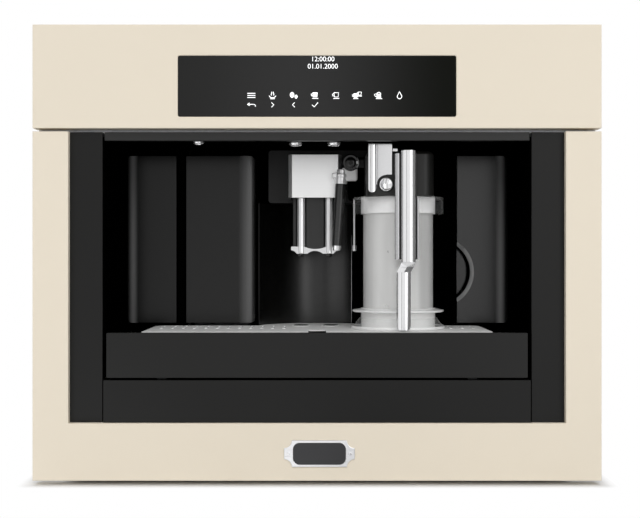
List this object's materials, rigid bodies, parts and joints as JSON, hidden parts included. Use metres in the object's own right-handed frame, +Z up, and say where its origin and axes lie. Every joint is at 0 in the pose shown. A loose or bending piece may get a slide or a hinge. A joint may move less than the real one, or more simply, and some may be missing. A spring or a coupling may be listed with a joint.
{
  "type": "built-in coffee machine",
  "caption": "Built-in bean-to-cup coffee machine on pull-out runners, with a touch display, a lit niche, an adjustable coffee spout, a drip tray and a milk jug.",
  "frame": {"origin": "middle of the outside box at the level of the feet", "axes": "+X right as seen from the front, +Y back into the cabinet, +Z up"},
  "size_m": [0.597, 0.4168, 0.4836],
  "materials": {
    "zinc_sheet": "brushed",
    "rubber": "matte",
    "cream_enamel": "satin",
    "black_glass": "gloss",
    "board_green": "satin",
    "chrome": "polished",
    "dark_moulding": "satin",
    "dark_trim": "satin",
    "black_moulding": "satin",
    "brushed_steel": "brushed",
    "grey_moulding": "satin",
    "aluminium": "cast",
    "smoked_plastic": "gloss",
    "clear_plastic": "gloss"
  },
  "bodies": {
    "cabinet_runners": {"runner_outers": "zinc_sheet"},
    "runner_middles": {"runner_middles": "zinc_sheet"},
    "machine": {"runner_inners": "zinc_sheet", "chassis_front": "zinc_sheet", "base_pan": "zinc_sheet", "feet": "rubber", "side_casings": "zinc_sheet", "back_cover": "zinc_sheet", "top_cover": "zinc_sheet", "chassis_deck": "zinc_sheet", "control_fascia": "cream_enamel", "lower_frame": "cream_enamel", "display_glass": "black_glass", "control_board": "board_green", "badge_plate": "chrome", "badge_inlay": "dark_moulding", "badge_screws": "chrome", "inner_frames": "dark_trim", "niche_sides": "black_moulding", "niche_ceiling": "black_moulding", "niche_back": "black_moulding", "niche_lamps": "chrome", "plinth_panel": "dark_trim", "dispenser_housing": "black_moulding", "spout_cover": "brushed_steel", "hot_water_tube": "chrome", "infuser": "grey_moulding", "brew_drive": "grey_moulding", "grinder": "aluminium", "bean_hopper": "smoked_plastic", "preground_funnel": "black_moulding", "boilers": "aluminium", "pump": "brushed_steel", "power_board": "board_green", "power_inlet": "black_moulding"},
    "hopper_lid": {"hopper_lid": "smoked_plastic"},
    "funnel_lid": {"funnel_lid": "black_moulding"},
    "grind_knob": {"grind_knob": "dark_moulding"},
    "main_switch": {"main_switch": "black_glass"},
    "coffee_spout": {"spout_carriage": "dark_moulding", "spout_tubes": "chrome", "spout_nozzles": "black_moulding"},
    "service_door": {"service_door": "dark_moulding"},
    "grounds_bin": {"grounds_bin": "dark_moulding"},
    "water_tank": {"water_tank": "smoked_plastic", "tank_front": "dark_moulding"},
    "drip_tray": {"tray_tub": "black_moulding", "tray_front": "dark_trim", "drip_grille": "brushed_steel"},
    "milk_jug": {"jug_vessel": "clear_plastic", "jug_base": "clear_plastic", "jug_collar": "clear_plastic", "jug_lid": "black_moulding", "lid_plate": "chrome", "handle_core": "black_moulding", "jug_handle": "chrome", "milk_tube": "grey_moulding"},
    "milk_spout": {"milk_spout": "black_moulding"},
    "clean_button": {"clean_button": "chrome"},
    "froth_slider": {"froth_slider": "chrome"}
  },
  "joints": [
    {"name": "machine_slide", "type": "slide", "parent": "cabinet_runners", "child": "machine", "axis": [0, -1, 0], "range_m": [0, 0.34]},
    {"name": "runner_slide", "type": "slide", "parent": "cabinet_runners", "child": "runner_middles", "axis": [0, -1, 0], "range_m": [0, 0.17]},
    {"name": "coffee_spout_lift", "type": "slide", "parent": "machine", "child": "coffee_spout", "axis": [0, 0, 1], "range_m": [0, 0.038]},
    {"name": "service_door_hinge", "type": "hinge", "parent": "machine", "child": "service_door", "pos_m": [-0.1488, -0.065, 0.1598], "axis": [0, 0, -1], "range_deg": [0, 90]},
    {"name": "grounds_bin_slide", "type": "slide", "parent": "machine", "child": "grounds_bin", "axis": [0, -1, 0], "range_m": [0, 0.19]},
    {"name": "water_tank_slide", "type": "slide", "parent": "machine", "child": "water_tank", "axis": [0, -1, 0], "range_m": [0, 0.19]},
    {"name": "drip_tray_slide", "type": "slide", "parent": "machine", "child": "drip_tray", "axis": [0, -1, 0], "range_m": [0, 0.17]},
    {"name": "milk_jug_slide", "type": "slide", "parent": "machine", "child": "milk_jug", "axis": [0, -1, 0], "range_m": [0, 0.16]},
    {"name": "milk_spout_swivel", "type": "hinge", "parent": "milk_jug", "child": "milk_spout", "pos_m": [0.0374, -0.116, 0.3455], "axis": [0, 1, 0], "range_deg": [0, 25]},
    {"name": "clean_button_press", "type": "slide", "parent": "milk_jug", "child": "clean_button", "axis": [0, 1, 0], "range_m": [0, 0.003], "stiffness_N_per_m": 400, "springref_m": -0.002},
    {"name": "froth_slider_slide", "type": "slide", "parent": "milk_jug", "child": "froth_slider", "axis": [1, 0, 0], "range_m": [0, 0.014]},
    {"name": "hopper_lid_hinge", "type": "hinge", "parent": "machine", "child": "hopper_lid", "pos_m": [0, 0.081, 0.465], "axis": [-1, 0, 0], "range_deg": [0, 95]},
    {"name": "funnel_lid_hinge", "type": "hinge", "parent": "machine", "child": "funnel_lid", "pos_m": [-0.1124, 0.024, 0.465], "axis": [-1, 0, 0], "range_deg": [0, 95]},
    {"name": "grind_knob_turn", "type": "hinge", "parent": "machine", "child": "grind_knob", "pos_m": [0.107, 0.029, 0.458], "axis": [0, 0, 1], "range_deg": [-120, 120]},
    {"name": "main_switch_rock", "type": "hinge", "parent": "machine", "child": "main_switch", "pos_m": [-0.14, 0.199, 0.06], "axis": [1, 0, 0], "range_deg": [0, 20]}
  ],
  "couplings": [
    {"joint": "runner_slide", "follows": "machine_slide", "ratio": 0.5}
  ]
}
